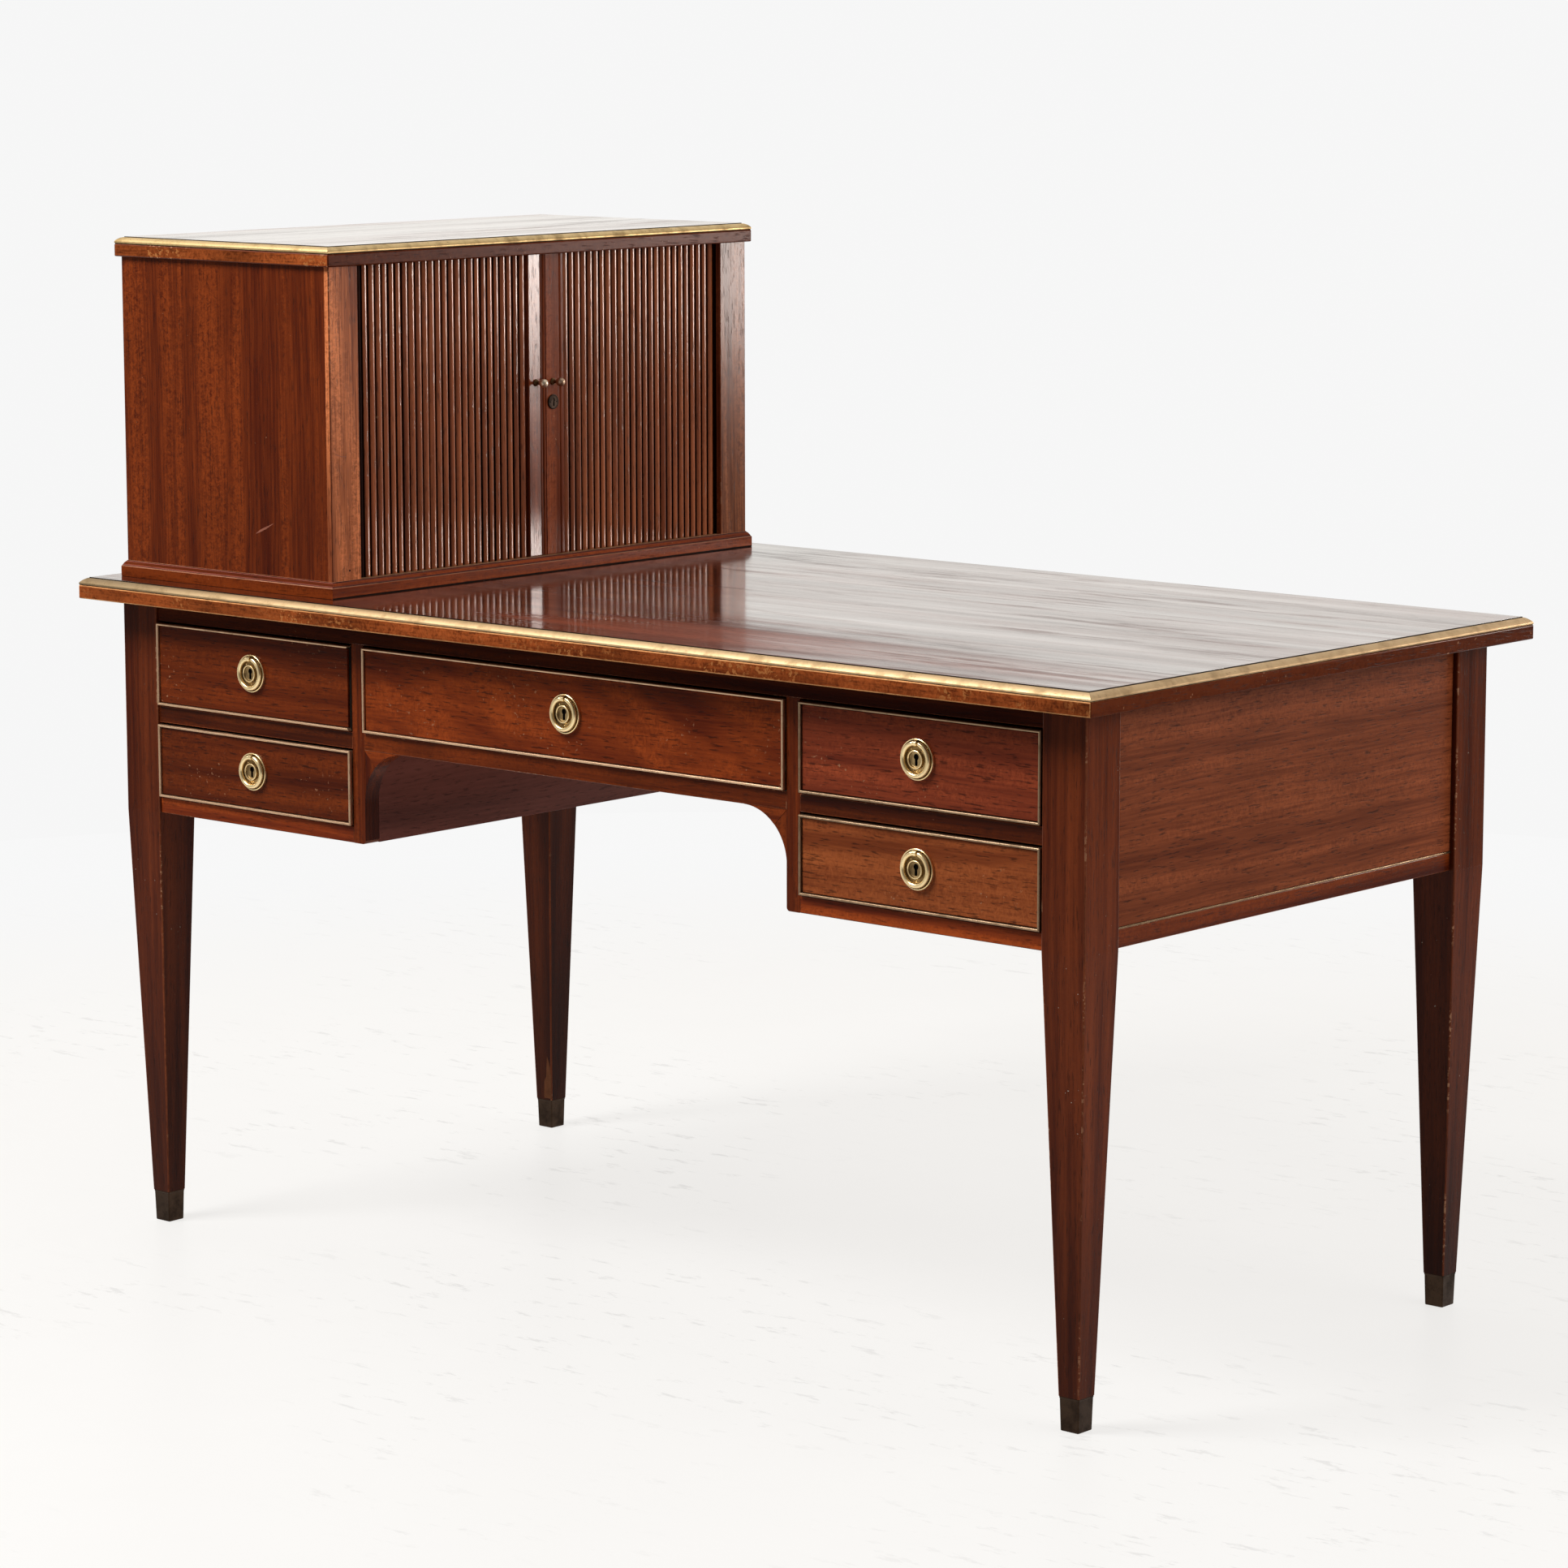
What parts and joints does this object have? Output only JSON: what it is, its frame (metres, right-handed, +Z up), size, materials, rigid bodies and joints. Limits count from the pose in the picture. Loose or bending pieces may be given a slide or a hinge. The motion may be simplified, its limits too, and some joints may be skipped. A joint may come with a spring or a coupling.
{
  "type": "desk with hutch",
  "caption": "Mahogany writing desk on tapered legs with brass-edged top, drawers with ring pulls, and a low cabinet with sliding tambour doors standing on its left end.",
  "frame": {"origin": "on the floor under the middle of the table top", "axes": "+X along the desk's length to the user's right, +Y from the drawer front to the back, +Z up"},
  "size_m": [1.502, 0.796, 1.1746],
  "materials": {
    "mahogany": "polished",
    "mahogany_fronts": "polished",
    "dull_mahogany": "matt",
    "secondary_wood": "raw",
    "brass": "polished",
    "dark_brass": "patinated",
    "iron": "plain",
    "canvas": "woven"
  },
  "bodies": {
    "desk": {"back_panels": "mahogany", "bottom_boards": "secondary_wood", "bottom_rails": "mahogany", "cabinet_back": "secondary_wood", "cabinet_floor": "secondary_wood", "cabinet_plinth": "mahogany", "cabinet_shelf": "secondary_wood", "cabinet_sides": "mahogany", "cabinet_stiles": "mahogany", "cabinet_top": "mahogany", "cabinet_top_brass_edge": "brass", "carcass_brass_lines": "brass", "divider_rails": "mahogany", "drawer_runners": "secondary_wood", "end_panel_left": "mahogany", "end_panel_right": "mahogany", "front_stiles": "mahogany", "front_top_rail": "mahogany", "kneehole_brackets": "mahogany", "kneehole_rail": "mahogany", "kneehole_sides": "dull_mahogany", "leg_back_left": "mahogany", "leg_back_right": "mahogany", "leg_front_left": "mahogany", "leg_front_right": "mahogany", "leg_shoes": "dark_brass", "tabletop": "mahogany", "tabletop_brass_edge": "brass", "tambour_guards": "secondary_wood", "tambour_left_canvas": "canvas", "tambour_left_slats": "mahogany", "tambour_right_canvas": "canvas", "tambour_right_slats": "mahogany"},
    "drawer_upper_left": {"drawer_upper_left_front": "mahogany_fronts", "drawer_upper_left_box": "secondary_wood", "drawer_upper_left_brass": "brass"},
    "drawer_lower_left": {"drawer_lower_left_front": "mahogany_fronts", "drawer_lower_left_box": "secondary_wood", "drawer_lower_left_brass": "brass"},
    "drawer_centre": {"drawer_centre_front": "mahogany_fronts", "drawer_centre_box": "secondary_wood", "drawer_centre_brass": "brass"},
    "drawer_upper_right": {"drawer_upper_right_front": "mahogany_fronts", "drawer_upper_right_box": "secondary_wood", "drawer_upper_right_brass": "brass"},
    "drawer_lower_right": {"drawer_lower_right_front": "mahogany_fronts", "drawer_lower_right_box": "secondary_wood", "drawer_lower_right_brass": "brass"},
    "ring_upper_left": {"drawer_upper_left_ring": "brass"},
    "ring_lower_left": {"drawer_lower_left_ring": "brass"},
    "ring_centre": {"drawer_centre_ring": "brass"},
    "ring_upper_right": {"drawer_upper_right_ring": "brass"},
    "ring_lower_right": {"drawer_lower_right_ring": "brass"},
    "tambour_left": {"tambour_left_rail": "mahogany", "tambour_left_knob": "brass"},
    "tambour_right": {"tambour_right_rail": "mahogany", "tambour_right_knob": "brass", "cabinet_escutcheon": "dark_brass", "cabinet_lock": "iron"}
  },
  "joints": [
    {"name": "drawer_upper_left_slide", "type": "slide", "parent": "desk", "child": "drawer_upper_left", "axis": [0, -1, 0], "range_m": [0, 0.42]},
    {"name": "drawer_lower_left_slide", "type": "slide", "parent": "desk", "child": "drawer_lower_left", "axis": [0, -1, 0], "range_m": [0, 0.42]},
    {"name": "drawer_centre_slide", "type": "slide", "parent": "desk", "child": "drawer_centre", "axis": [0, -1, 0], "range_m": [0, 0.42]},
    {"name": "drawer_upper_right_slide", "type": "slide", "parent": "desk", "child": "drawer_upper_right", "axis": [0, -1, 0], "range_m": [0, 0.42]},
    {"name": "drawer_lower_right_slide", "type": "slide", "parent": "desk", "child": "drawer_lower_right", "axis": [0, -1, 0], "range_m": [0, 0.42]},
    {"name": "ring_upper_left_hinge", "type": "hinge", "parent": "drawer_upper_left", "child": "ring_upper_left", "pos_m": [-0.49785, -0.363, 0.69775], "axis": [-1, 0, 0], "range_deg": [0, 100]},
    {"name": "ring_lower_left_hinge", "type": "hinge", "parent": "drawer_lower_left", "child": "ring_lower_left", "pos_m": [-0.49785, -0.363, 0.58325], "axis": [-1, 0, 0], "range_deg": [0, 100]},
    {"name": "ring_centre_hinge", "type": "hinge", "parent": "drawer_centre", "child": "ring_centre", "pos_m": [0, -0.363, 0.69775], "axis": [-1, 0, 0], "range_deg": [0, 100]},
    {"name": "ring_upper_right_hinge", "type": "hinge", "parent": "drawer_upper_right", "child": "ring_upper_right", "pos_m": [0.49785, -0.363, 0.69775], "axis": [-1, 0, 0], "range_deg": [0, 100]},
    {"name": "ring_lower_right_hinge", "type": "hinge", "parent": "drawer_lower_right", "child": "ring_lower_right", "pos_m": [0.49785, -0.363, 0.58325], "axis": [-1, 0, 0], "range_deg": [0, 100]},
    {"name": "tambour_left_slide", "type": "slide", "parent": "desk", "child": "tambour_left", "axis": [0, -1, 0], "range_m": [0, 0.28], "deforming": ["tambour_left_slats", "tambour_left_canvas"]},
    {"name": "tambour_right_slide", "type": "slide", "parent": "desk", "child": "tambour_right", "axis": [0, 1, 0], "range_m": [0, 0.27], "deforming": ["tambour_right_slats", "tambour_right_canvas"]}
  ]
}
